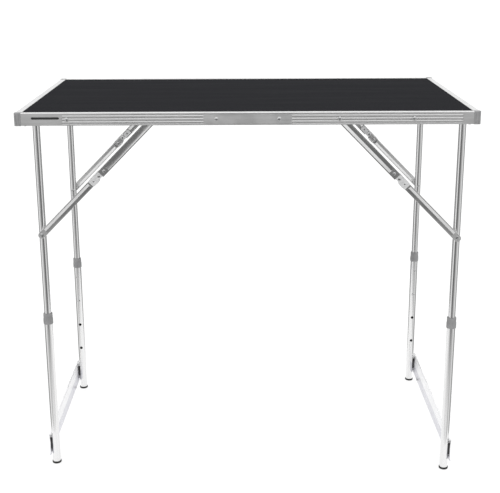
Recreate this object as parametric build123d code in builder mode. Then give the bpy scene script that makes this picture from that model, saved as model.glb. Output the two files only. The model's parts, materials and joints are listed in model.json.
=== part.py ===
from build123d import *

import math
import os

# Folding table: a framed top on two leg frames that swing in under it.
# X runs along the top, Y from front (-) to back (+), Z up from the floor.

# ---------------------------------------------------------------- top
TOP_LENGTH = 1000.0
TOP_DEPTH = 600.0
TABLE_HEIGHT = 870.0            # third of four settings, 70 mm apart

RAIL_HEIGHT = 27.0
RAIL_INNER = 2.2                # outer face to inner face of the wall
LIP_WIDTH = 14.0
LIP_THICKNESS = 1.2
LEDGE_WIDTH = 12.0
LEDGE_THICKNESS = 1.4
RETURN_WIDTH = 9.0
PANEL_THICKNESS = 3.0
RIB_HEIGHT = 0.9

CAP_SIZE = 14.0
CAP_PROUD = 0.6
PLUG_LENGTH = 21.0
LONG_PLUG_LENGTH = 86.0         # the front left plug backs the slot
PLUG_DEPTH = 7.8

PLATE_LENGTH = 189.0
PLATE_HEIGHT = 20.6
PLATE_THICKNESS = 0.7
PLATE_RIVET_X = 67.3
SLOT_LENGTH = 60.0
SLOT_HEIGHT = 5.0
SLOT_X = -434.0
RIVET_DEPTH = 13.5              # rivet line below the top face

STRIP_WIDTH = 20.0
STRIP_THICKNESS = 1.0
LEFT_STRIP_X = -388.0
RIGHT_STRIP_X = 358.0

# ---------------------------------------------------------------- legs
LEG_X = 470.0
LEFT_LEG_Y = 220.0              # the left frame nests inside the right one
RIGHT_LEG_Y = 262.0
HINGE_DEPTH = 16.8              # hinge line below the top face
BEND_RADIUS = 16.0
UPPER_RADIUS = 8.0
UPPER_BORE = 6.8
UPPER_END_DEPTH = 622.0
LOWER_RADIUS = 9.6
LOWER_BORE = 8.3
HOLE_DEPTHS = (535.0, 605.0, 675.0, 745.0)
BUTTON_DEPTH = 605.0
HOLE_RADIUS = 3.7
BUTTON_RADIUS = 3.4

COLLAR_TOP_DEPTH = 482.0
COLLAR_HEIGHT = 26.0
FOOT_RADIUS = 11.0
FOOT_HEIGHT = 5.0

CROSS_HEIGHT = 54.0
CROSS_CENTRE = 51.0
CROSS_GAUGE = 1.2
CROSS_OFFSET = 11.1             # leg axis to inner face of the cross panel
CROSS_FLANGE = 2.3
CROSS_BEND = 6.0                # the web leans outwards above this height over its centre
CROSS_LEAN = 1.2                # how far the top edge stands out
SADDLE_HEIGHT = 26.0
SADDLE_WIDTH = 14.0
CROSS_RIVET_SPREAD = 40.0
CROSS_RIVET_HEAD = 4.4

CLAMP_Y = 150.0
CLAMP_LENGTH = 30.0
CLAMP_RADIUS = 10.5
CLAMP_BORE = 8.1

# ---------------------------------------------------------------- braces
BRACE_TOP_X = 197.5
BRACE_ARM = LEG_X - BRACE_TOP_X  # the same along the rail and down the leg
LINK_GAUGE = 1.3
UPPER_LINK_WIDTH = 17.6
UPPER_LINK_LOW = 15.8           # heights from the leg axis, outwards
UPPER_LINK_HIGH = 22.2
LOWER_LINK_WIDTH = 16.0
LOWER_LINK_LOW = 8.7
LOWER_LINK_HIGH = 14.2
CREASE = 1.0
TONGUE_WIDTH = 12.8
TONGUE_HIGH = 19.2
SLEEVE_HIGH = 15.3
SLEEVE_NOSE = 3.2               # cut back so the nose swings under the panel
KNUCKLE_RIVET = 18.0            # knuckle pivot to the rivet on each side
PIN_RADIUS = 2.5
RUNNING_FIT = 0.05

os.makedirs("parts", exist_ok=True)

half_length = TOP_LENGTH / 2
half_depth = TOP_DEPTH / 2
top_z = TABLE_HEIGHT
panel_top = top_z - LIP_THICKNESS
panel_bottom = panel_top - PANEL_THICKNESS
ledge_bottom = panel_bottom - LEDGE_THICKNESS
return_top = top_z - RAIL_HEIGHT + LEDGE_THICKNESS
rivet_z = top_z - RIVET_DEPTH
hinge_z = top_z - HINGE_DEPTH
leg_pin_z = hinge_z - BRACE_ARM
rise = rivet_z - leg_pin_z
brace_length = math.hypot(BRACE_ARM, rise)
link_length = brace_length / 2
collar_top = top_z - COLLAR_TOP_DEPTH

CORNERS = {
    "front_left": (-1, -1),
    "front_right": (1, -1),
    "back_left": (-1, 1),
    "back_right": (1, 1),
}


def leg_y(side):
    return LEFT_LEG_Y if side < 0 else RIGHT_LEG_Y


def save(part, label):
    part.label = label
    export_step(part, f"parts/{label}.step")


def rod(start, direction, radius, length, mode=Mode.ADD):
    """A round bar from a point along a direction, in the open part."""
    with Locations(Plane(origin=start, z_dir=direction).location):
        Cylinder(radius, length, align=(Align.CENTER, Align.CENTER, Align.MIN), mode=mode)


def dome(start, direction, radius, height, top):
    """A tapered rivet head standing on a face, in the open part."""
    with Locations(Plane(origin=start, z_dir=direction).location):
        Cone(radius, top, height, align=(Align.CENTER, Align.CENTER, Align.MIN))


def block(low, high, mode=Mode.ADD):
    """A box between two corners, in the open part."""
    size = [b - a for a, b in zip(low, high)]
    centre = [(a + b) / 2 for a, b in zip(low, high)]
    with Locations(tuple(centre)):
        Box(*size, mode=mode)


def dome_rivet(face, inward, grip, head=4.2, shank=2.4, tail=3.4):
    """Domed head on a face, shank through the grip, flat tail behind."""
    out = tuple(-c for c in inward)
    back = tuple(p + c * grip for p, c in zip(face, inward))
    rod(face, inward, shank, grip)
    dome(face, out, head, 1.7, head - 1.6)
    rod(back, inward, tail, 1.2)


# ---------------------------------------------------------------- rails
def rail(origin, inward, along, length):
    """One length of rail: ribbed wall, lip, panel ledge and return."""
    foot = -RAIL_HEIGHT
    slot_top = -LIP_THICKNESS
    slot_bottom = slot_top - PANEL_THICKNESS
    ledge = slot_bottom - LEDGE_THICKNESS
    with BuildSketch(Plane(origin=origin, x_dir=inward, z_dir=along)) as section:
        with BuildLine():
            Polyline((RIB_HEIGHT, -3.8), (0, -3.0), (0, -0.8), (0.8, 0),
                     (LIP_WIDTH, 0), (LIP_WIDTH, slot_top), (RAIL_INNER, slot_top),
                     (RAIL_INNER, slot_bottom), (LEDGE_WIDTH, slot_bottom),
                     (LEDGE_WIDTH, ledge), (RAIL_INNER, ledge),
                     (RAIL_INNER, foot + LEDGE_THICKNESS),
                     (RETURN_WIDTH, foot + LEDGE_THICKNESS), (RETURN_WIDTH, foot),
                     (0, foot), (0, -24.4), (RIB_HEIGHT, -23.8))
            previous = -23.8
            for low, high in ((-22.6, -17.9), (-16.8, -11.8), (-10.6, -5.1)):
                Line((RIB_HEIGHT, previous), (RIB_HEIGHT, low))
                ThreePointArc((RIB_HEIGHT, low), (0, (low + high) / 2), (RIB_HEIGHT, high))
                previous = high
            Line((RIB_HEIGHT, previous), (RIB_HEIGHT, -3.8))
        make_face()
    extrude(section.sketch, amount=length)


rail_length = TOP_LENGTH - 2 * CAP_SIZE
end_rail_length = TOP_DEPTH - 2 * CAP_SIZE

for name, sign in (("front", -1), ("back", 1)):
    with BuildPart() as long_rail:
        rail((sign * rail_length / 2, sign * half_depth, top_z),
             (0, -sign, 0), (-sign, 0, 0), rail_length)
        outer = sign * half_depth
        inner = sign * (half_depth - RAIL_INNER)
        land = sign * (half_depth - RIB_HEIGHT - 0.1)
        for side in (-1, 1):
            reach = 88.0 if side < 0 and sign < 0 else 24.0
            near = side * (rail_length / 2 - reach)
            far = side * rail_length / 2
            block((min(near, far), min(outer, land), top_z - 24.6),
                  (max(near, far), max(outer, land), top_z - 2.8))
        for x in (LEFT_STRIP_X, RIGHT_STRIP_X):
            block((x - STRIP_WIDTH / 2 - 0.1, min(inner, sign * 284), ledge_bottom - 0.1),
                  (x + STRIP_WIDTH / 2 + 0.1, max(inner, sign * 284), panel_bottom),
                  mode=Mode.SUBTRACT)
            rod((x, outer, rivet_z), (0, -sign, 0), 2.4, 4, Mode.SUBTRACT)
        rod((BRACE_TOP_X, outer, rivet_z), (0, -sign, 0), PIN_RADIUS, 4, Mode.SUBTRACT)
        for x in (-478.0, 478.0):
            rod((x, sign * 294.2, top_z - RAIL_HEIGHT), (0, 0, 1), 1.4, 2, Mode.SUBTRACT)
        if sign < 0:
            for x in (-PLATE_RIVET_X, PLATE_RIVET_X):
                rod((x, outer, rivet_z), (0, 1, 0), 2.4, 4, Mode.SUBTRACT)
            slot_plane = Plane(origin=(SLOT_X, outer - 1, top_z - 11.3), x_dir=(1, 0, 0),
                               z_dir=(0, 1, 0))
            with BuildSketch(slot_plane):
                SlotOverall(SLOT_LENGTH, SLOT_HEIGHT)
            extrude(amount=5, mode=Mode.SUBTRACT)
    save(long_rail.part, f"{name}_rail")

for name, sign in (("left", -1), ("right", 1)):
    with BuildPart() as end_rail:
        rail((sign * half_length, -sign * end_rail_length / 2, top_z),
             (-sign, 0, 0), (0, sign, 0), end_rail_length)
        for y in (-CLAMP_Y, CLAMP_Y):
            rod((sign * half_length, y, rivet_z), (-sign, 0, 0), 2.4, 4, Mode.SUBTRACT)
        for y in (-274.0, 274.0):
            rod((sign * 494.2, y, top_z - RAIL_HEIGHT), (0, 0, 1), 1.4, 2, Mode.SUBTRACT)
    save(end_rail.part, f"{name}_end_rail")

# ---------------------------------------------------------------- panel
with BuildPart() as panel:
    with BuildSketch(Plane.XY.offset(panel_bottom)):
        Rectangle(TOP_LENGTH - 2 * RAIL_INNER - 0.4, TOP_DEPTH - 2 * RAIL_INNER - 0.4)
    extrude(amount=PANEL_THICKNESS)
    for y in (-254.0, 254.0):
        for x in (-BRACE_TOP_X - 9, -BRACE_TOP_X + 9):
            rod((x, y, panel_bottom), (0, 0, 1), 1.8, 2, Mode.SUBTRACT)
save(panel.part, "tabletop_panel")

# ---------------------------------------------------------------- corners
with BuildPart() as caps:
    for sx, sy in CORNERS.values():
        low_x = half_length - CAP_SIZE
        low_y = half_depth - CAP_SIZE
        with BuildPart(mode=Mode.PRIVATE) as cap:
            block((low_x, low_y, top_z - RAIL_HEIGHT - CAP_PROUD),
                  (half_length + CAP_PROUD, half_depth + CAP_PROUD, top_z + CAP_PROUD))
            upright = cap.edges().filter_by(Axis.Z).sort_by(lambda e: e.center().X + e.center().Y)
            chamfer(upright[-1], 3.0)
            fillet(cap.faces().sort_by(Axis.Z)[-1].edges().sort_by(Axis.X)[-1], 0.5)
            block((low_x - 1, low_y - 1, panel_bottom),
                  (half_length - RAIL_INNER, half_depth - RAIL_INNER, panel_top), Mode.SUBTRACT)
            for groove in (3.2, 9.4):
                block((low_x + groove, half_depth + CAP_PROUD - 0.5, top_z - RAIL_HEIGHT + 1),
                      (low_x + groove + 0.9, half_depth + 1, top_z - 2.0), Mode.SUBTRACT)
                block((half_length + CAP_PROUD - 0.5, low_y + groove, top_z - RAIL_HEIGHT + 1),
                      (half_length + 1, low_y + groove + 0.9, top_z - 2.0), Mode.SUBTRACT)
            plug = LONG_PLUG_LENGTH if sx < 0 and sy < 0 else PLUG_LENGTH
            block((low_x - plug, half_depth - RAIL_INNER - PLUG_DEPTH, return_top),
                  (low_x, half_depth - RAIL_INNER, ledge_bottom))
            block((half_length - RAIL_INNER - PLUG_DEPTH, low_y - PLUG_LENGTH, return_top),
                  (half_length - RAIL_INNER, low_y, ledge_bottom))
            rod((478.0, 294.2, return_top), (0, 0, 1), 1.4, 7, Mode.SUBTRACT)
            rod((494.2, 274.0, return_top), (0, 0, 1), 1.4, 7, Mode.SUBTRACT)
        shape = cap.part
        if sx < 0:
            shape = shape.mirror(Plane.YZ)
        if sy < 0:
            shape = shape.mirror(Plane.XZ)
        add(shape)
save(caps.part, "corner_caps")

with BuildPart() as cap_screws:
    for sx, sy in CORNERS.values():
        for x, y in ((478.0, 294.2), (494.2, 274.0)):
            rod((sx * x, sy * y, top_z - RAIL_HEIGHT - 1.4), (0, 0, 1), 2.6, 1.4)
            rod((sx * x, sy * y, top_z - RAIL_HEIGHT), (0, 0, 1), 1.4, 7)
save(cap_screws.part, "corner_cap_screws")

# ---------------------------------------------------------------- plate
with BuildPart() as plate:
    plate_plane = Plane(origin=(0, -half_depth, top_z - 13.9), x_dir=(1, 0, 0), z_dir=(0, -1, 0))
    with BuildSketch(plate_plane):
        RectangleRounded(PLATE_LENGTH, PLATE_HEIGHT, 1.5)
    extrude(amount=PLATE_THICKNESS)
    for x in (-PLATE_RIVET_X, PLATE_RIVET_X):
        rod((x, -half_depth - 1, rivet_z), (0, 1, 0), 2.4, 2, Mode.SUBTRACT)
save(plate.part, "name_plate")

# ---------------------------------------------------------------- strips
with BuildPart() as strips:
    for x in (LEFT_STRIP_X, RIGHT_STRIP_X):
        reach = half_depth - RAIL_INNER
        block((x - STRIP_WIDTH / 2, -reach, panel_bottom - STRIP_THICKNESS),
              (x + STRIP_WIDTH / 2, reach, panel_bottom))
        for sign in (-1, 1):
            outer = sign * reach
            inner = sign * (reach - STRIP_THICKNESS)
            block((x - STRIP_WIDTH / 2, min(outer, inner), top_z - 20),
                  (x + STRIP_WIDTH / 2, max(outer, inner), panel_bottom))
            rod((x, outer, rivet_z), (0, -sign, 0), 2.4, 2, Mode.SUBTRACT)
save(strips.part, "stiffener_strips")

with BuildPart() as rail_rivets:
    for x in (LEFT_STRIP_X, RIGHT_STRIP_X):
        for sign in (-1, 1):
            dome_rivet((x, sign * half_depth, rivet_z), (0, -sign, 0),
                       RAIL_INNER + STRIP_THICKNESS)
    for x in (-PLATE_RIVET_X, PLATE_RIVET_X):
        dome_rivet((x, -half_depth - PLATE_THICKNESS, rivet_z), (0, 1, 0),
                   RAIL_INNER + PLATE_THICKNESS)
    for sx in (-1, 1):
        for y in (-CLAMP_Y, CLAMP_Y):
            dome_rivet((sx * half_length, y, rivet_z), (-sx, 0, 0), 8.0, tail=2.4)
save(rail_rivets.part, "rail_rivets")

# ---------------------------------------------------------------- clamps
with BuildPart() as clamps:
    for sx in (-1, 1):
        for y in (-CLAMP_Y, CLAMP_Y):
            wall = sx * (half_length - RAIL_INNER)
            rod((sx * LEG_X, y - CLAMP_LENGTH / 2, hinge_z), (0, 1, 0),
                CLAMP_RADIUS, CLAMP_LENGTH)
            block((min(sx * LEG_X, wall), y - CLAMP_LENGTH / 2, top_z - 25.0),
                  (max(sx * LEG_X, wall), y + CLAMP_LENGTH / 2, top_z - 8.0))
            rod((sx * LEG_X, y - CLAMP_LENGTH / 2 - 1, hinge_z), (0, 1, 0),
                CLAMP_BORE, CLAMP_LENGTH + 2, Mode.SUBTRACT)
            rod((wall, y, rivet_z), (-sx, 0, 0), 2.4, 7.0, Mode.SUBTRACT)
save(clamps.part, "leg_hinge_clamps")

# ---------------------------------------------------------------- brackets
bracket_inner = LEFT_LEG_Y + 22.8
bracket_outer = bracket_inner + 1.6
with BuildPart() as brackets:
    for sign in (-1, 1):
        near = sign * bracket_inner
        far = sign * bracket_outer
        edge = sign * 262.0
        block((-BRACE_TOP_X - 15, min(near, far), top_z - 23.0),
              (-BRACE_TOP_X + 15, max(near, far), panel_bottom))
        block((-BRACE_TOP_X - 15, min(near, edge), panel_bottom - 1.5),
              (-BRACE_TOP_X + 15, max(near, edge), panel_bottom))
        rod((-BRACE_TOP_X, near, rivet_z), (0, sign, 0), PIN_RADIUS, 4, Mode.SUBTRACT)
        for x in (-BRACE_TOP_X - 9, -BRACE_TOP_X + 9):
            rod((x, sign * 254.0, panel_bottom - 3), (0, 0, 1), 1.8, 4, Mode.SUBTRACT)
    lower_edges = brackets.edges().filter_by(Axis.Y).group_by(Axis.Z)[0]
    fillet(lower_edges, 5.0)
save(brackets.part, "brace_brackets")

with BuildPart() as bracket_rivets:
    for y in (-254.0, 254.0):
        for x in (-BRACE_TOP_X - 9, -BRACE_TOP_X + 9):
            rod((x, y, panel_bottom - 1.5), (0, 0, 1), 1.8, 3.5)
            rod((x, y, panel_bottom - 2.5), (0, 0, 1), 3.4, 1.0)
save(bracket_rivets.part, "brace_bracket_rivets")


def brace_top_pin(x, sign, axis_y, wall_outer, wall_inner):
    """Headed pin from a wall to the web of the upper link, and through it."""
    high = axis_y + UPPER_LINK_HIGH + RUNNING_FIT
    low = axis_y + UPPER_LINK_HIGH - LINK_GAUGE - RUNNING_FIT
    inward = (0, -sign, 0)
    dome((x, sign * wall_outer, rivet_z), (0, sign, 0), 4.2, 1.7, 2.6)
    rod((x, sign * wall_outer, rivet_z), inward, PIN_RADIUS, wall_outer - wall_inner)
    rod((x, sign * wall_inner, rivet_z), inward, 4.5, wall_inner - high)
    rod((x, sign * high, rivet_z), inward, PIN_RADIUS, high - low)
    rod((x, sign * low, rivet_z), inward, 4.5, 1.3)


with BuildPart() as top_pins:
    for sign in (-1, 1):
        brace_top_pin(BRACE_TOP_X, sign, RIGHT_LEG_Y, half_depth, half_depth - RAIL_INNER)
        brace_top_pin(-BRACE_TOP_X, sign, LEFT_LEG_Y, bracket_outer, bracket_inner)
save(top_pins.part, "brace_top_pins")

# ---------------------------------------------------------------- legs
for name, side in (("left", -1), ("right", 1)):
    x = side * LEG_X
    y = leg_y(side)
    end_z = top_z - UPPER_END_DEPTH
    with BuildPart() as frame:
        with BuildLine() as path:
            FilletPolyline((x, -y, end_z), (x, -y, hinge_z), (x, y, hinge_z), (x, y, end_z),
                           radius=BEND_RADIUS)
        with BuildSketch(Plane(origin=(x, -y, end_z), z_dir=(0, 0, 1))):
            Circle(UPPER_RADIUS)
            Circle(UPPER_BORE, mode=Mode.SUBTRACT)
        sweep(path=path.line)
        for sign in (-1, 1):
            rod((x, sign * (y - 10), leg_pin_z), (0, sign, 0), PIN_RADIUS, 20, Mode.SUBTRACT)
            rod((x, sign * y, top_z - BUTTON_DEPTH), (0, -sign, 0),
                BUTTON_RADIUS + 0.1, 10, Mode.SUBTRACT)
    save(frame.part, f"{name}_upper_leg_frame")

    with BuildPart() as leg_pins:
        web_low = LOWER_LINK_HIGH - LINK_GAUGE - RUNNING_FIT
        web_high = LOWER_LINK_HIGH + RUNNING_FIT
        for sign in (-1, 1):
            rod((x, sign * (y + 5.5), leg_pin_z), (0, sign, 0), 4.5, web_low - 5.5)
            rod((x, sign * (y - 7.0), leg_pin_z), (0, -sign, 0), 4.0, 2.4)
            rod((x, sign * y, leg_pin_z - 10), (0, 0, 1), UPPER_RADIUS, 20, Mode.SUBTRACT)
        for sign in (-1, 1):
            rod((x, sign * (y - 8.0), leg_pin_z), (0, sign, 0), PIN_RADIUS, 8.0 + web_high)
            rod((x, sign * (y + web_high), leg_pin_z), (0, sign, 0), 4.5, 1.05)
    save(leg_pins.part, f"{name}_brace_leg_pins")

    for end, sign in (("front", -1), ("back", 1)):
        with BuildPart() as lower_tube:
            with BuildSketch(Plane(origin=(x, sign * y, FOOT_HEIGHT), z_dir=(0, 0, 1))):
                Circle(LOWER_RADIUS)
                Circle(LOWER_BORE, mode=Mode.SUBTRACT)
            extrude(amount=collar_top - 3.0 - FOOT_HEIGHT)
            for depth in HOLE_DEPTHS:
                rod((x, sign * y, top_z - depth), (0, -sign, 0), HOLE_RADIUS, 12, Mode.SUBTRACT)
            for offset in (-CROSS_RIVET_SPREAD / 2, CROSS_RIVET_SPREAD / 2):
                rod((x, sign * y, CROSS_CENTRE + offset), (side, 0, 0), 2.4, 12, Mode.SUBTRACT)
        save(lower_tube.part, f"{end}_{name}_lower_tube")

        with BuildPart() as button:
            inward = (0, -sign, 0)
            centre_z = top_z - BUTTON_DEPTH
            rod((x, sign * (y - 5.6), centre_z), inward, BUTTON_RADIUS, 4.8)
            tip = (x, sign * (y - 10.4), centre_z)
            dome(tip, inward, BUTTON_RADIUS, 1.4, 2.0)
            low = sign * (y - 5.6)
            high = sign * (y - 5.0)
            block((x - 3.4, min(low, high), centre_z - 8), (x + 3.4, max(low, high), centre_z + 34))
        save(button.part, f"{end}_{name}_height_button")

    with BuildPart() as collars:
        for sign in (-1, 1):
            with BuildSketch(Plane(origin=(x, sign * y, 0), x_dir=(1, 0, 0), z_dir=(0, -1, 0))):
                with BuildLine():
                    Polyline((LOWER_BORE, collar_top), (LOWER_BORE, collar_top - 3.0),
                             (LOWER_RADIUS, collar_top - 3.0),
                             (LOWER_RADIUS, collar_top - COLLAR_HEIGHT),
                             (11.0, collar_top - COLLAR_HEIGHT),
                             (11.3, collar_top - COLLAR_HEIGHT + 1.5),
                             (11.3, collar_top - 14.0), (10.7, collar_top - 11.0),
                             (10.7, collar_top - 1.2), (10.0, collar_top),
                             close=True)
                make_face()
            revolve(axis=Axis((x, sign * y, 0), (0, 0, 1)))
    save(collars.part, f"{name}_collars")

    with BuildPart() as feet:
        for sign in (-1, 1):
            rod((x, sign * y, 0), (0, 0, 1), FOOT_RADIUS, FOOT_HEIGHT)
        fillet(feet.edges().filter_by(GeomType.CIRCLE).group_by(Axis.Z)[0], 1.8)
        for sign in (-1, 1):
            rod((x, sign * y, FOOT_HEIGHT), (0, 0, 1), LOWER_BORE, 14.0)
    save(feet.part, f"{name}_feet")

    reach = y + 11.0
    inner = x + side * CROSS_OFFSET
    outer = inner + side * CROSS_GAUGE
    up = side                   # the section's Y axis points up on the right, down on the left
    bend = CROSS_BEND
    top = CROSS_HEIGHT / 2
    out = CROSS_OFFSET + CROSS_GAUGE
    edge = out + CROSS_FLANGE
    head_edge = CROSS_RIVET_SPREAD / 2 + CROSS_RIVET_HEAD
    rivet_lean = CROSS_LEAN * (head_edge - bend) / (top - bend)
    with BuildPart() as cross:
        section_plane = Plane(origin=(x, reach, CROSS_CENTRE), x_dir=(side, 0, 0),
                              z_dir=(0, -1, 0))
        with BuildSketch(section_plane):
            with BuildLine():
                Polyline((CROSS_OFFSET, -top * up), (edge, -top * up),
                         (edge, (CROSS_GAUGE - top) * up), (out, (CROSS_GAUGE - top) * up),
                         (out, bend * up), (out + CROSS_LEAN, (top - CROSS_GAUGE) * up),
                         (edge + CROSS_LEAN, (top - CROSS_GAUGE) * up),
                         (edge + CROSS_LEAN, top * up), (CROSS_OFFSET + CROSS_LEAN, top * up),
                         (CROSS_OFFSET, bend * up), close=True)
            make_face()
        extrude(amount=2 * reach)
        for sign in (-1, 1):
            for offset in (-CROSS_RIVET_SPREAD / 2, CROSS_RIVET_SPREAD / 2):
                rod((inner - side, sign * y, CROSS_CENTRE + offset), (side, 0, 0), 2.4, 4,
                    Mode.SUBTRACT)
        rod((inner - side, y - 32.0, CROSS_CENTRE), (side, 0, 0), 2.5, 4, Mode.SUBTRACT)
    save(cross.part, f"{name}_cross_panel")

    with BuildPart() as saddles:
        for sign in (-1, 1):
            block((min(x + side * 6.0, inner), sign * y - SADDLE_WIDTH / 2,
                   CROSS_CENTRE - SADDLE_HEIGHT / 2),
                  (max(x + side * 6.0, inner), sign * y + SADDLE_WIDTH / 2,
                   CROSS_CENTRE + SADDLE_HEIGHT / 2))
            rod((x, sign * y, 0), (0, 0, 1), LOWER_RADIUS, 120, Mode.SUBTRACT)
    save(saddles.part, f"{name}_panel_saddles")

    with BuildPart() as cross_rivets:
        for sign in (-1, 1):
            for offset in (-CROSS_RIVET_SPREAD / 2, CROSS_RIVET_SPREAD / 2):
                lean = rivet_lean if offset > 0 else 0
                face = (outer + side * lean, sign * y, CROSS_CENTRE + offset)
                grip = CROSS_OFFSET + CROSS_GAUGE - LOWER_BORE + 0.9 + lean
                dome_rivet(face, (-side, 0, 0), grip, head=CROSS_RIVET_HEAD)
    save(cross_rivets.part, f"{name}_cross_rivets")

# ---------------------------------------------------------------- braces
# Each link lies in local axes: X from the top pin to the leg pin, Z away
# from the leg, with the leg axis at Z = 0.
knuckle = link_length
channel_end = knuckle - 6.9
sleeve_end = knuckle + 27.0
lower_start = knuckle + 5.0


def link_pan(start, end, round_at, width, low, high):
    """Pressed channel, rounded about one pivot and cut square at the other."""
    inner_width = width - 2 * LINK_GAUGE
    near, far = min(start, end), max(start, end)
    for w, bottom, top, mode in ((width, low, high, Mode.ADD),
                                 (inner_width, low, high - LINK_GAUGE, Mode.SUBTRACT)):
        with BuildSketch(Plane.XY.offset(bottom)) as outline:
            with Locations(((near + far) / 2, 0)):
                Rectangle(far - near, w)
            with Locations((round_at, 0)):
                Circle(w / 2)
        extrude(outline.sketch, amount=top - bottom, mode=mode)


def crease(start, end, half_width, level, height, mode):
    """Triangular ridge along the link, from a level to its crest."""
    with BuildSketch(Plane(origin=(start, 0, 0), x_dir=(0, 1, 0), z_dir=(1, 0, 0))) as ridge:
        with BuildLine():
            Polyline((-half_width, level), (0, level + height), (half_width, level), close=True)
        make_face()
    extrude(ridge.sketch, amount=end - start, mode=mode)


with BuildPart() as upper_link_shape:
    link_pan(0, channel_end, 0, UPPER_LINK_WIDTH, UPPER_LINK_LOW, UPPER_LINK_HIGH)
    crease(15, channel_end - 20, 6.2, UPPER_LINK_HIGH - LINK_GAUGE, -CREASE, Mode.ADD)
    crease(15, channel_end - 20, 6.2, UPPER_LINK_HIGH, -CREASE, Mode.SUBTRACT)
    rod((0, 0, 0), (0, 0, 1), PIN_RADIUS + RUNNING_FIT, 30, Mode.SUBTRACT)
    rod((knuckle - KNUCKLE_RIVET, 0, 0), (0, 0, 1), 2.0, 30, Mode.SUBTRACT)

with BuildPart() as tongue_shape:
    with BuildSketch(Plane.XY.offset(UPPER_LINK_LOW)):
        with Locations((knuckle - 9.9, 0)):
            RectangleRounded(35.8, TONGUE_WIDTH, 2.5)
    extrude(amount=TONGUE_HIGH - UPPER_LINK_LOW)
    block((knuckle - 26, -TONGUE_WIDTH / 2, TONGUE_HIGH),
          (channel_end, TONGUE_WIDTH / 2, UPPER_LINK_HIGH - LINK_GAUGE))
    rod((knuckle, 0, 0), (0, 0, 1), PIN_RADIUS, 30, Mode.SUBTRACT)
    rod((knuckle - KNUCKLE_RIVET, 0, 0), (0, 0, 1), 2.0, 30, Mode.SUBTRACT)

with BuildPart() as knuckle_pins_shape:
    rod((knuckle, 0, UPPER_LINK_LOW), (0, 0, 1), PIN_RADIUS, TONGUE_HIGH - UPPER_LINK_LOW)
    dome((knuckle, 0, TONGUE_HIGH), (0, 0, 1), 3.8, 1.2, 2.8)
    rod((knuckle - KNUCKLE_RIVET, 0, UPPER_LINK_LOW), (0, 0, 1), 2.0,
        UPPER_LINK_HIGH - UPPER_LINK_LOW)
    dome((knuckle - KNUCKLE_RIVET, 0, UPPER_LINK_HIGH), (0, 0, 1), 3.4, 1.1, 2.4)

with BuildPart() as lower_link_shape:
    link_pan(lower_start, brace_length, brace_length, LOWER_LINK_WIDTH,
             LOWER_LINK_LOW, LOWER_LINK_HIGH)
    crease(sleeve_end + 4, brace_length - 14, 5.6, LOWER_LINK_HIGH, CREASE, Mode.ADD)
    crease(sleeve_end + 4, brace_length - 14, 5.6, LOWER_LINK_HIGH - LINK_GAUGE, CREASE,
           Mode.SUBTRACT)
    rod((brace_length, 0, 0), (0, 0, 1), PIN_RADIUS + RUNNING_FIT, 30, Mode.SUBTRACT)
    rod((knuckle + KNUCKLE_RIVET, 0, 0), (0, 0, 1), 2.0, 30, Mode.SUBTRACT)

with BuildPart() as sleeve_shape:
    half = LOWER_LINK_WIDTH / 2
    with BuildSketch(Plane.XY.offset(LOWER_LINK_LOW)):
        with BuildLine():
            Polyline((channel_end, -SLEEVE_NOSE), (knuckle + 9, -9.6), (knuckle + 18, -9.6),
                     (sleeve_end, -8.5), (sleeve_end, 8.5), (knuckle + 20, 9.2),
                     (channel_end, 9.2), close=True)
        make_face()
    extrude(amount=SLEEVE_HIGH - LOWER_LINK_LOW)
    block((channel_end - 1, -half, LOWER_LINK_LOW - 1), (sleeve_end + 1, half, LOWER_LINK_HIGH),
          Mode.SUBTRACT)
    rod((knuckle, 0, 0), (0, 0, 1), PIN_RADIUS + 0.5, 30, Mode.SUBTRACT)
    rod((knuckle + KNUCKLE_RIVET, 0, 0), (0, 0, 1), 2.0, 30, Mode.SUBTRACT)

with BuildPart() as sleeve_rivet_shape:
    rod((knuckle + KNUCKLE_RIVET, 0, LOWER_LINK_HIGH - LINK_GAUGE), (0, 0, 1), 2.0,
        SLEEVE_HIGH - LOWER_LINK_HIGH + LINK_GAUGE)
    rod((knuckle + KNUCKLE_RIVET, 0, LOWER_LINK_HIGH - LINK_GAUGE), (0, 0, -1), 3.5, 1.3)

LINK_SHAPES = {
    "upper_brace_link": upper_link_shape,
    "knuckle_tongue": tongue_shape,
    "knuckle_pins": knuckle_pins_shape,
    "lower_brace_link": lower_link_shape,
    "knuckle_sleeve": sleeve_shape,
    "sleeve_rivet": sleeve_rivet_shape,
}

slope = Plane(origin=(BRACE_TOP_X, 0, rivet_z), x_dir=(BRACE_ARM, 0, -rise), z_dir=(0, -1, 0))

for corner, (sx, sy) in CORNERS.items():
    for piece, shape in LINK_SHAPES.items():
        placed = shape.part.moved(slope.location)
        if sx < 0:
            placed = placed.mirror(Plane.YZ)
        if sy > 0:
            placed = placed.mirror(Plane.XZ)
        with BuildPart() as link:
            add(placed.moved(Location((0, sy * leg_y(sx), 0))))
        save(link.part, f"{corner}_{piece}")
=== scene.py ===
"""Looks of the folding table: finished metal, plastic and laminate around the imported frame."""

import json
import math

import bmesh
import bpy
from mathutils import Matrix, Vector

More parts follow.
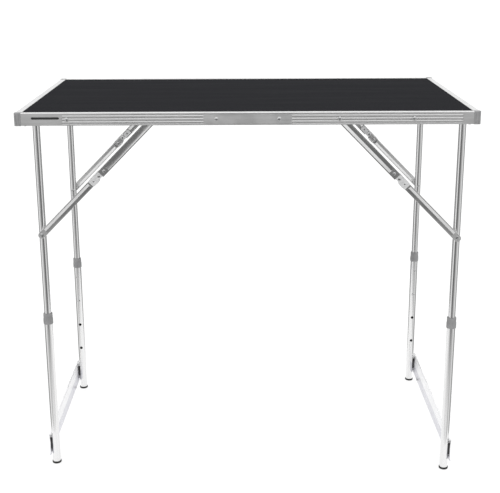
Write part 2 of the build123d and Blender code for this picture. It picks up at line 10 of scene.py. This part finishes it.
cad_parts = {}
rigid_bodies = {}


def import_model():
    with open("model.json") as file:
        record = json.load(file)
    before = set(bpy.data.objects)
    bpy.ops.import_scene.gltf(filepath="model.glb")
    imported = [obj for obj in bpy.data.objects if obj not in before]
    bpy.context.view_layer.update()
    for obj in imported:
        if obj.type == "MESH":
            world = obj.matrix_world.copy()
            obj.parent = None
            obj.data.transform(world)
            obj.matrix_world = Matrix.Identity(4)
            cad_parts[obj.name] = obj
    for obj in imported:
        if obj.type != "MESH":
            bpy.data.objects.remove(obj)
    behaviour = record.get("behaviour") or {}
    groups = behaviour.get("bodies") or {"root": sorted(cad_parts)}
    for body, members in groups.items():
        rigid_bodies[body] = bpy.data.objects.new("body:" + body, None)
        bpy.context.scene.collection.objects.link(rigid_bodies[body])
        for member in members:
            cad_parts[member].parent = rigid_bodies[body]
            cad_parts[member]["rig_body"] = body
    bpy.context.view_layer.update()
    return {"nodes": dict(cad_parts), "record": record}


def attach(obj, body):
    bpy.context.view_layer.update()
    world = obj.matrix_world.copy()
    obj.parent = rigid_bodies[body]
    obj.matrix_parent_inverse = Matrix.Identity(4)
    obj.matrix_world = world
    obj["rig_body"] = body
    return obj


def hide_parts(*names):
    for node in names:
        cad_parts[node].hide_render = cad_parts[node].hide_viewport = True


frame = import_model()
record = frame["record"]
slot_of = {part["node"]: part["material_slot"] for part in record["subparts"]}

MM = 0.001

# Measures of the part, in metres.
LEG_X = 0.470
HINGE_Z = 0.8532
HOOP_BEND = 0.016
HALF_WIDTH = {"left": 0.220, "right": 0.262}
UPPER_TUBE_RADIUS = 8.0 * MM
LOWER_TUBE_RADIUS = 9.6 * MM
PLUG_X = 0.484
PLUG_Y = 0.2985
END_RAIL_X = 0.495
HEAD_HEIGHT = 1.7 * MM
PIVOT_LENGTH = 6.0 * MM
RAIL_WALL = 2.2 * MM
BRACKET_WALL = 1.6 * MM
CROSS_PANEL_FOLD = 0.0525

# How meshes are cleaned and rounded.
WELD = 1e-6
FLAT_ANGLE = math.radians(0.5)
EDGE_ANGLE = math.radians(32)
TURNED_EDGE_ANGLE = math.radians(40)
ROUND_TOLERANCE = 0.04 * MM


# ---------------------------------------------------------------- node trees
class Tree:
    """A short way to write a material's or a world's node tree."""

    def __init__(self, owner):
        owner.use_nodes = True
        self.nodes = owner.node_tree.nodes
        self.links = owner.node_tree.links
        self.nodes.clear()

    def add(self, kind, **settings):
        node = self.nodes.new(kind)
        for name, value in settings.items():
            setattr(node, name, value)
        return node

    def feed(self, socket, value):
        if isinstance(value, bpy.types.NodeSocket):
            self.links.new(value, socket)
        else:
            socket.default_value = value

    def maths(self, operation, first, second=0.0, clamp=False):
        node = self.add("ShaderNodeMath", operation=operation, use_clamp=clamp)
        self.feed(node.inputs[0], first)
        self.feed(node.inputs[1], second)
        return node.outputs[0]

    def fit(self, value, low, high, new_low, new_high):
        node = self.add("ShaderNodeMapRange", interpolation_type="SMOOTHSTEP")
        for socket, number in zip(node.inputs, (value, low, high, new_low, new_high)):
            self.feed(socket, number)
        return node.outputs[0]

    def place(self, stretch, slope=0.0):
        """Coordinates on the piece in metres, turned about Y and then squeezed along each axis."""
        where = self.add("ShaderNodeTexCoord")
        turned = self.add("ShaderNodeMapping")
        self.links.new(where.outputs["Object"], turned.inputs["Vector"])
        turned.inputs["Rotation"].default_value = (0, math.radians(slope), 0)
        squeezed = self.add("ShaderNodeMapping")
        self.links.new(turned.outputs["Vector"], squeezed.inputs["Vector"])
        squeezed.inputs["Scale"].default_value = stretch
        return squeezed.outputs["Vector"]

    def noise(self, vector, scale, detail=3.0, rough=0.55):
        node = self.add("ShaderNodeTexNoise")
        self.feed(node.inputs["Vector"], vector)
        self.feed(node.inputs["Scale"], scale)
        self.feed(node.inputs["Detail"], detail)
        self.feed(node.inputs["Roughness"], rough)
        return node.outputs["Fac"]

    def tint(self, factor, dark, light):
        node = self.add("ShaderNodeMix", data_type="RGBA")
        self.feed(node.inputs["Factor"], factor)
        node.inputs["A"].default_value = (*dark, 1)
        node.inputs["B"].default_value = (*light, 1)
        return node.outputs["Result"]

    def bump(self, height, strength, distance):
        node = self.add("ShaderNodeBump")
        self.feed(node.inputs["Height"], height)
        node.inputs["Strength"].default_value = strength
        node.inputs["Distance"].default_value = distance
        return node.outputs["Normal"]

    def surface(self, **inputs):
        shader = self.add("ShaderNodeBsdfPrincipled")
        for name, value in inputs.items():
            self.feed(shader.inputs[name.replace("_", " ")], value)
        out = self.add("ShaderNodeOutputMaterial")
        self.links.new(shader.outputs["BSDF"], out.inputs["Surface"])
        return shader


def grey(level, warm=0.0):
    return (level * (1 + warm), level, level * (1 - warm))


def aluminium(name, level, roughness, stretch, slope=0.0, streak=0.05, relief=0.05,
              tone=(1, 1, 1), painted_highlight_height=None):
    """Drawn or pressed aluminium: fine die lines along the grain, handling marks, faint scratches."""
    made = bpy.data.materials.new(name)
    tree = Tree(made)
    along = tree.place(stretch, slope)
    everywhere = tree.place((1, 1, 1))
    lines = tree.noise(along, 900, 4, 0.6)
    bands = tree.noise(along, 160, 2, 0.5)
    smudges = tree.noise(everywhere, 22, 4, 0.6)
    scratch = tree.fit(tree.noise(along, 420, 8, 0.75), 0.66, 0.72, 0, 1)
    mixed = tree.maths("ADD", tree.maths("MULTIPLY", lines, 0.55), tree.maths("MULTIPLY", bands, 0.45))
    shade = tree.fit(mixed, 0.32, 0.68, 0, 1)
    dark, light = ([min(1, level * share * part) for part in tone] for share in (1 - streak, 1 + streak))
    colour = tree.tint(shade, dark, light)
    # Optional painted highlight on the upper part, used for the cross panels.
    if painted_highlight_height:
        colour = painted_highlight_above(tree, colour, painted_highlight_height)
    polish = tree.fit(smudges, 0.35, 0.7, roughness * 0.82, roughness * 1.25)
    rough = tree.maths("ADD", polish, tree.maths("MULTIPLY", scratch, 0.08), clamp=True)
    height = tree.maths("SUBTRACT", lines, tree.maths("MULTIPLY", scratch, 0.5))
    tree.surface(Base_Color=colour, Metallic=1.0, Roughness=rough,
                 Normal=tree.bump(height, relief, 0.00005))
    return made


def painted_highlight_above(tree, colour, height):
    """Painted highlight: above the fold the panel is painted lighter, standing in for light falling from
    above; the web under it keeps its colour.
    """
    parts = tree.add("ShaderNodeSeparateXYZ")
    tree.links.new(tree.place((1, 1, 1)), parts.inputs[0])
    node = tree.add("ShaderNodeMix", data_type="RGBA")
    tree.feed(node.inputs["Factor"], tree.fit(parts.outputs[2], height - 0.0008, height + 0.0008, 0, 0.85))
    tree.feed(node.inputs["A"], colour)
    node.inputs["B"].default_value = (0.93, 0.93, 0.935, 1)
    return node.outputs["Result"]


def plated_steel(name, level, roughness, metallic=1.0):
    """Zinc-plated steel: slightly cloudy and pitted."""
    made = bpy.data.materials.new(name)
    tree = Tree(made)
    everywhere = tree.place((1, 1, 1))
    cloud = tree.noise(everywhere, 300, 5, 0.6)
    pits = tree.noise(everywhere, 1800, 3, 0.5)
    colour = tree.tint(tree.fit(cloud, 0.3, 0.7, 0, 1), grey(level * 0.94, -0.01), grey(level))
    rough = tree.fit(cloud, 0.3, 0.7, roughness * 0.9, roughness * 1.15)
    tree.surface(Base_Color=colour, Metallic=metallic, Roughness=rough,
                 Normal=tree.bump(pits, 0.06, 0.00004))
    return made


def moulded(name, colour, roughness):
    """Moulded plastic or rubber: fine spark-eroded grain, flow variation, scuffs."""
    made = bpy.data.materials.new(name)
    tree = Tree(made)
    everywhere = tree.place((1, 1, 1))
    spark = tree.noise(everywhere, 1400, 4, 0.6)
    flow = tree.noise(everywhere, 60, 4, 0.55)
    scuff = tree.fit(tree.noise(everywhere, 210, 7, 0.7), 0.6, 0.7, 0, 1)
    dark = tuple(c * 0.88 for c in colour)
    light = tuple(min(1, c * 1.12 + 0.004) for c in colour)
    shade = tree.maths("ADD", tree.fit(flow, 0.3, 0.7, 0, 0.8), tree.maths("MULTIPLY", scuff, 0.25),
                       clamp=True)
    rough = tree.fit(flow, 0.3, 0.7, roughness * 0.9, min(1, roughness * 1.12))
    tree.surface(Base_Color=tree.tint(shade, dark, light), Roughness=rough,
                 Specular_IOR_Level=0.5, Normal=tree.bump(spark, 0.25, 0.0002))
    return made


def laminate(name):
    """Black laminate: pebbled pressing, faint lengthwise tone, dust-fine scratches."""
    made = bpy.data.materials.new(name)
    tree = Tree(made)
    everywhere = tree.place((1, 1, 1))
    lengthwise = tree.place((0.12, 1, 1))
    pebble = tree.noise(everywhere, 1100, 4, 0.6)
    tone = tree.noise(lengthwise, 26, 5, 0.6)
    scratch = tree.fit(tree.noise(tree.place((0.05, 1, 1)), 380, 8, 0.78), 0.66, 0.74, 0, 1)
    shade = tree.maths("ADD", tree.fit(tone, 0.3, 0.7, 0, 0.7), tree.maths("MULTIPLY", scratch, 0.3),
                       clamp=True)
    rough = tree.fit(tone, 0.3, 0.7, 0.5, 0.62)
    tree.surface(Base_Color=tree.tint(shade, (0.0140, 0.0143, 0.0165), (0.0188, 0.0191, 0.0216)),
                 Roughness=rough, Specular_IOR_Level=0.002,
                 Normal=tree.bump(pebble, 0.3, 0.00015))
    return made


LOOKS = {
    "black_top": laminate("black_laminate"),
    "rail_aluminium": aluminium("satin_rail", 0.62, 0.45, (0.02, 1, 1), streak=0.06, relief=0.12),
    "name_plate": aluminium("brushed_plate", 0.68, 0.46, (0.02, 1, 1), streak=0.07, relief=0.10),
    "tube_aluminium": aluminium("drawn_tube", 0.83, 0.13, (1, 1, 0.006), streak=0.03, relief=0.012),
    "link_aluminium": aluminium("pressed_link", 0.80, 0.20, (0.03, 1, 1), slope=-45, relief=0.03),
    "link_aluminium_left": aluminium("pressed_link_left", 0.80, 0.20, (0.03, 1, 1), slope=45, relief=0.03),
    # The cross panels get a painted highlight above the fold.
    "cross_aluminium": aluminium("rolled_sheet", 0.70, 0.32, (1, 0.02, 1), relief=0.04,
                                 tone=(0.985, 0.985, 1.04), painted_highlight_height=CROSS_PANEL_FOLD),
    "knuckle_steel": plated_steel("plated_knuckle", 0.80, 0.38, metallic=0.5),
    "rivet_steel": plated_steel("bright_rivet", 0.64, 0.12),
    "strip_steel": plated_steel("plated_strip", 0.60, 0.34),
    "cap_plastic": moulded("grey_plastic", (0.25, 0.25, 0.253), 0.48),
    "black_plastic": moulded("black_plastic", (0.018, 0.018, 0.018), 0.42),
    "foot_rubber": moulded("black_rubber", (0.012, 0.012, 0.012), 0.62),
}


# ---------------------------------------------------------------- meshes
def add_object(name, mesh):
    made = bpy.data.objects.new(name, mesh)
    bpy.context.scene.collection.objects.link(made)
    return made


def settled(piece):
    """Applies a piece's modifiers and leaves the plain mesh."""
    bpy.context.view_layer.update()
    graph = bpy.context.evaluated_depsgraph_get()
    mesh = bpy.data.meshes.new_from_object(piece.evaluated_get(graph))
    piece.modifiers.clear()
    piece.data = mesh
    return piece


def finish_piece(piece, node):
    """Paints a piece and makes it stand for its node and ride on the node's body."""
    slot = slot_of[node]
    look = slot
    if node == "name_plate":
        look = "name_plate"
    elif slot == "link_aluminium" and "left" in node:
        look = "link_aluminium_left"
    piece.data.materials.clear()
    piece.data.materials.append(LOOKS[look])
    # Painted shade: the plug faces inside the rails are painted black plastic instead of the caps' grey,
    # darkening the rail's slot as shade would.
    if node == "corner_caps":
        piece.data.materials.append(LOOKS["black_plastic"])
        for face in piece.data.polygons:
            if abs(face.center.x) < PLUG_X and abs(face.center.y) < PLUG_Y:
                face.material_index = 1
    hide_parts(node)
    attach(piece, frame["nodes"][node]["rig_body"])
    return piece


def rounded_copy(node, width, crisp=None):
    """The node's own shape with every hard edge rounded over; folds above crisp degrees stay sharp."""
    mesh = bpy.data.meshes.new(node + "_rounded")
    shape = bmesh.new()
    shape.from_mesh(frame["nodes"][node].data)
    bmesh.ops.remove_doubles(shape, verts=shape.verts, dist=WELD)
    bmesh.ops.dissolve_limit(shape, angle_limit=FLAT_ANGLE, verts=shape.verts, edges=shape.edges)
    for face in shape.faces:
        face.smooth = True
    shape.to_mesh(mesh)
    shape.free()
    if crisp:
        mesh.set_sharp_from_angle(angle=math.radians(crisp))
    piece = add_object(node + "_finished", mesh)
    bevel = piece.modifiers.new("edges", "BEVEL")
    bevel.width = width
    bevel.segments = 2
    bevel.limit_method = "ANGLE"
    bevel.angle_limit = EDGE_ANGLE
    bevel.use_clamp_overlap = False
    if slot_of[node] == "rivet_steel":
        bevel.harden_normals = True
    else:
        weighted = piece.modifiers.new("flats", "WEIGHTED_NORMAL")
        weighted.keep_sharp = True
        weighted.weight = 80
    settled(piece)
    return finish_piece(piece, node)


def round_tubes(piece, radius, nearest_on_axis):
    """Gives the outer skin of a tube the exact normals of a round bar."""
    mesh = piece.data
    normals = [corner.vector.copy() for corner in mesh.corner_normals]
    for face in mesh.polygons:
        for loop in face.loop_indices:
            point = mesh.vertices[mesh.loops[loop].vertex_index].co
            spoke = point - nearest_on_axis(point)
            if abs(spoke.length - radius) > ROUND_TOLERANCE:
                continue
            if spoke.normalized().dot(face.normal) > 0.93:
                normals[loop] = spoke.normalized()
    mesh.normals_split_custom_set(normals)


def upright_axis(half_width):
    """Nearest point on the centre lines of a pair of upright tubes."""
    def nearest(point):
        return Vector((math.copysign(LEG_X, point.x), math.copysign(half_width, point.y), point.z))
    return nearest


def hoop_axis(half_width):
    """Nearest point on the centre line of an upper leg frame: two uprights, two bends, a bar."""
    def nearest(point):
        x = math.copysign(LEG_X, point.x)
        inner = half_width - HOOP_BEND
        if point.z < HINGE_Z - HOOP_BEND:
            return Vector((x, math.copysign(half_width, point.y), point.z))
        if abs(point.y) < inner:
            return Vector((x, point.y, HINGE_Z))
        centre = Vector((x, math.copysign(inner, point.y), HINGE_Z - HOOP_BEND))
        spoke = point - centre
        spoke.x = 0.0
        return centre + spoke.normalized() * HOOP_BEND
    return nearest


def separate_boxes(node):
    """Lowest and highest corner of each separate solid in a node."""
    shape = bmesh.new()
    shape.from_mesh(frame["nodes"][node].data)
    bmesh.ops.remove_doubles(shape, verts=shape.verts, dist=WELD)
    left = set(shape.verts)
    boxes = []
    while left:
        group = set()
        edge_of_group = {left.pop()}
        while edge_of_group:
            vertex = edge_of_group.pop()
            group.add(vertex)
            near = {e.other_vert(vertex) for e in vertex.link_edges}
            edge_of_group |= near - group
        left -= group
        low = Vector([min(v.co[i] for v in group) for i in range(3)])
        high = Vector([max(v.co[i] for v in group) for i in range(3)])
        boxes.append((low, high))
    shape.free()
    return sorted(boxes, key=lambda pair: tuple(pair[0]))


def turned_rings(shape, origin, axis, profile, segments=48):
    """Adds a turned solid: profile is (radius, distance along the axis), from tip to tail."""
    turn = axis.to_track_quat("Z", "X")
    rings = []
    for radius, along in profile:
        if radius < 1e-7:
            rings.append([shape.verts.new(origin + axis * along)])
            continue
        angles = [2 * math.pi * i / segments for i in range(segments)]
        rings.append([shape.verts.new(origin + turn @ Vector((radius * math.cos(a), radius * math.sin(a),
                                                              along))) for a in angles])
    for first, second in zip(rings, rings[1:]):
        for i in range(segments):
            j = (i + 1) % segments
            corners = {first[i % len(first)]: 0, second[i % len(second)]: 0, second[j % len(second)]: 0,
                       first[j % len(first)]: 0}
            shape.faces.new(list(corners)).smooth = True


def rivet_head(radius, height, dimple=1.15 * MM):
    """Crowned head of a blind rivet, with the broken-off mandrel set down in its middle."""
    rim = 0.22 * height
    points = [(0, 0.45 * height), (dimple * 0.8, 0.45 * height), (dimple * 0.9, 0.12 * height)]
    steps = 9
    for step in range(steps + 1):
        reach = dimple + (radius - dimple) * math.sin(math.pi / 2 * step / steps)
        fall = (reach / radius) ** 2
        points.append((reach, (height - rim) * (1 - math.sqrt(max(0.0, 1 - fall)))))
    points.append((radius, height - 0.08 * height))
    points.append((radius * 0.98, height))
    return points


def turned_piece(node, studs):
    """A node's turned fasteners: each stud is (tip of head, axis inwards, profile)."""
    shape = bmesh.new()
    for tip, axis, profile in studs:
        turned_rings(shape, tip, axis, profile)
    bmesh.ops.recalc_face_normals(shape, faces=shape.faces)
    mesh = bpy.data.meshes.new(node + "_turned")
    shape.to_mesh(mesh)
    shape.free()
    mesh.set_sharp_from_angle(angle=TURNED_EDGE_ANGLE)
    return finish_piece(add_object(node + "_finished", mesh), node)


def outward_axis(low, high, across):
    """Unit vector pointing from the table's middle out along one axis."""
    sign = 1.0 if (low[across] + high[across]) > 0 else -1.0
    axis = Vector((0, 0, 0))
    axis[across] = sign
    return axis


def stud_tip(low, high, out):
    middle = (low + high) / 2
    for i in range(3):
        if out[i] > 0.5:
            middle[i] = high[i]
        elif out[i] < -0.5:
            middle[i] = low[i]
    return middle


def blind_rivets(node, head_radius, shank_radius, tail_radius, tail_length, across_of):
    studs = []
    for low, high in separate_boxes(node):
        out = outward_axis(low, high, across_of(low, high))
        length = abs((high - low).dot(out))
        profile = rivet_head(head_radius, HEAD_HEIGHT)
        neck = length - (tail_length if tail_radius > shank_radius else 0)
        profile += [(shank_radius, HEAD_HEIGHT), (shank_radius, neck), (tail_radius, neck),
                    (tail_radius, length - 0.3 * MM), (tail_radius - 0.3 * MM, length), (0, length)]
        studs.append((stud_tip(low, high, out), -out, profile))
    return turned_piece(node, studs)


def knuckle_pins(node):
    """The short pivot pin and the longer rivet beside it."""
    studs = []
    for low, high in separate_boxes(node):
        out = outward_axis(low, high, 1)
        length = high.y - low.y
        pivot = length < PIVOT_LENGTH
        head, height, shank = (3.8 * MM, 1.2 * MM, 2.5 * MM) if pivot else (3.4 * MM, 1.1 * MM, 2.0 * MM)
        profile = rivet_head(head, height, 0.9 * MM)
        profile += [(shank, height), (shank, length), (0, length)]
        studs.append((stud_tip(low, high, out), -out, profile))
    return turned_piece(node, studs)


def brace_top_pins(node):
    """Headed pins: wall, spacer, link web and end disc from the outside in."""
    studs = []
    for low, high in separate_boxes(node):
        out = outward_axis(low, high, 1)
        length = high.y - low.y
        wall = RAIL_WALL if low.x > 0 else BRACKET_WALL
        pin, disc = 2.5 * MM, 4.5 * MM
        inside = HEAD_HEIGHT + wall
        end = length - 1.3 * MM
        web = end - 1.4 * MM
        profile = rivet_head(4.2 * MM, HEAD_HEIGHT)
        profile += [(pin, HEAD_HEIGHT), (pin, inside), (disc, inside), (disc, web), (pin, web), (pin, end),
                    (disc, end), (disc, length - 0.3 * MM), (disc - 0.3 * MM, length), (0, length)]
        studs.append((stud_tip(low, high, out), -out, profile))
    return turned_piece(node, studs)


turned_nodes = {
    "rail_rivets": lambda node: blind_rivets(
        node, 4.2 * MM, 2.4 * MM, 2.4 * MM, 1.2 * MM,
        lambda low, high: 0 if max(abs(low.x), abs(high.x)) > END_RAIL_X else 1),
    "brace_top_pins": brace_top_pins,
}
for side in ("left", "right"):
    turned_nodes[side + "_cross_rivets"] = lambda node: blind_rivets(
        node, 4.4 * MM, 2.4 * MM, 3.4 * MM, 1.2 * MM, lambda low, high: 0)
for corner in ("front_left", "front_right", "back_left", "back_right"):
    turned_nodes[corner + "_knuckle_pins"] = knuckle_pins

EDGE_ROUNDING = {
    "black_top": 0.3 * MM,
    "rail_aluminium": 0.25 * MM,
    "tube_aluminium": 0.25 * MM,
    "link_aluminium": 0.45 * MM,
    "cross_aluminium": 0.4 * MM,
    "knuckle_steel": 0.3 * MM,
    "rivet_steel": 0.2 * MM,
    "strip_steel": 0.2 * MM,
    "cap_plastic": 0.3 * MM,
    "black_plastic": 0.5 * MM,
    "foot_rubber": 0.4 * MM,
}

CRISP_FOLDS = {"link_aluminium": 4.0, "cross_aluminium": 6.0}

for node, slot in slot_of.items():
    if node in turned_nodes:
        turned_nodes[node](node)
        continue
    piece = rounded_copy(node, EDGE_ROUNDING[slot], crisp=CRISP_FOLDS.get(slot))
    if slot == "tube_aluminium":
        half_width = HALF_WIDTH["left" if "left" in node else "right"]
        if "upper" in node:
            round_tubes(piece, UPPER_TUBE_RADIUS, hoop_axis(half_width))
        else:
            round_tubes(piece, LOWER_TUBE_RADIUS, upright_axis(half_width))


# ---------------------------------------------------------------- stage
def sheet_of_floor(name, low, high, height, material):
    mesh = bpy.data.meshes.new(name)
    corners = [(low[0], low[1]), (high[0], low[1]), (high[0], high[1]), (low[0], high[1])]
    mesh.from_pydata([(x, y, height) for x, y in corners], [], [(0, 1, 2, 3)])
    mesh.materials.append(material)
    made = add_object(name, mesh)
    return made


# The floor mostly glows by itself, which keeps it white where the table shades it. In reflections
# only the small sheet under the table is seen.
floor_paint = bpy.data.materials.new("pale_floor")
floor_tree = Tree(floor_paint)
floor_tree.surface(Base_Color=(0.2, 0.2, 0.2, 1), Roughness=0.9, Specular_IOR_Level=0.1,
                   Emission_Color=(1, 1, 1, 1), Emission_Strength=0.83)
sheet_of_floor("paper", (-0.66, -0.40), (0.66, 0.40), 0.0, floor_paint)
wide_floor = sheet_of_floor("floor", (-150, -150), (150, 150), -0.0006, floor_paint)
wide_floor.visible_glossy = False


def reflected_card(name, y):
    """A dark card below eye level in front of or behind the table, seen only in the metal."""
    paint = bpy.data.materials.new(name)
    tree = Tree(paint)
    where = tree.add("ShaderNodeTexCoord")
    parts = tree.add("ShaderNodeSeparateXYZ")
    tree.links.new(where.outputs["Object"], parts.inputs[0])
    across = tree.fit(tree.maths("ABSOLUTE", parts.outputs[0]), 0.45, 0.85, 0.17, 0.52)
    low_glow = tree.fit(parts.outputs[2], -0.48, 0.14, 0.9, 0.0)
    level = tree.maths("MAXIMUM", across, low_glow)
    glow = tree.add("ShaderNodeEmission")
    tree.links.new(level, glow.inputs["Color"])
    out = tree.add("ShaderNodeOutputMaterial")
    tree.links.new(glow.outputs[0], out.inputs["Surface"])
    mesh = bpy.data.meshes.new(name)
    mesh.from_pydata([(-0.85, y, -0.6), (0.85, y, -0.6), (0.85, y, 0.74), (-0.85, y, 0.74)],
                     [], [(0, 1, 2, 3)])
    mesh.materials.append(paint)
    card = add_object(name, mesh)
    card.visible_camera = False
    card.visible_diffuse = False
    card.visible_shadow = False


reflected_card("front_card", -1.4)
reflected_card("back_card", 1.4)

# The studio: soft white walls and ceiling, and below eye level grey with a light panel to each
# side, which draws the long bright lines on the tubes.
LOW_STUDIO = ((-180, 0.42), (-125, 0.28), (-95, 0.34), (-76, 0.86), (-62, 1.00), (-47, 0.72), (-25, 0.50),
              (25, 0.50), (47, 0.66), (62, 0.92), (76, 0.72), (95, 0.34), (125, 0.30), (180, 0.42))
world = bpy.data.worlds.new("studio")
bpy.context.scene.world = world
sky = Tree(world)
direction = sky.add("ShaderNodeTexCoord")
split = sky.add("ShaderNodeSeparateXYZ")
sky.links.new(direction.outputs["Generated"], split.inputs[0])
bearing = sky.maths("ARCTAN2", split.outputs[0], sky.maths("MULTIPLY", split.outputs[1], -1.0))
turn = sky.maths("ADD", sky.maths("DIVIDE", bearing, 2 * math.pi), 0.5)
low_studio = sky.add("ShaderNodeValToRGB")
ramp = low_studio.color_ramp
while len(ramp.elements) < len(LOW_STUDIO):
    ramp.elements.new(0.5)
for element, (angle, level) in zip(ramp.elements, LOW_STUDIO):
    element.position = angle / 360 + 0.5
    element.color = (level, level, level, 1)
sky.links.new(turn, low_studio.inputs["Fac"])
walls = sky.add("ShaderNodeMix", data_type="RGBA")
sky.links.new(sky.fit(split.outputs[2], -0.09, -0.008, 0, 1), walls.inputs["Factor"])
sky.links.new(low_studio.outputs["Color"], walls.inputs["A"])
walls.inputs["B"].default_value = (1.0, 1.0, 1.0, 1)
background = sky.add("ShaderNodeBackground")
sky.links.new(walls.outputs["Result"], background.inputs["Color"])
out = sky.add("ShaderNodeOutputWorld")
sky.links.new(background.outputs[0], out.inputs["Surface"])

ceiling_lamp = bpy.data.lights.new("ceiling", "SUN")
ceiling_lamp.energy = 1.2
ceiling_lamp.angle = math.radians(100)
ceiling = bpy.data.objects.new("ceiling", ceiling_lamp)
ceiling.rotation_euler = (math.radians(-12), 0, 0)
bpy.context.scene.collection.objects.link(ceiling)


# ---------------------------------------------------------------- camera
# Chosen between two fits to points of the picture.
PICTURE_WIDTH = 500
SENSOR_WIDTH = 36.0
FOCAL_PIXELS = 1012.0
camera_data = bpy.data.cameras.new("camera")
camera_data.sensor_fit = "HORIZONTAL"
camera_data.sensor_width = SENSOR_WIDTH
camera_data.lens = FOCAL_PIXELS / PICTURE_WIDTH * SENSOR_WIDTH
camera = bpy.data.objects.new("camera", camera_data)
bpy.context.scene.collection.objects.link(camera)
camera.location = (-0.0115, -2.4565, 1.2060)
yaw, pitch, roll = (math.radians(a) for a in (-0.41, 16.40, 0.165))
camera.matrix_world = (Matrix.Translation(camera.location) @ Matrix.Rotation(yaw, 4, "Z")
                       @ Matrix.Rotation(math.pi / 2 - pitch, 4, "X") @ Matrix.Rotation(-roll, 4, "Z"))
bpy.context.scene.camera = camera
bpy.context.scene.view_settings.view_transform = "Standard"
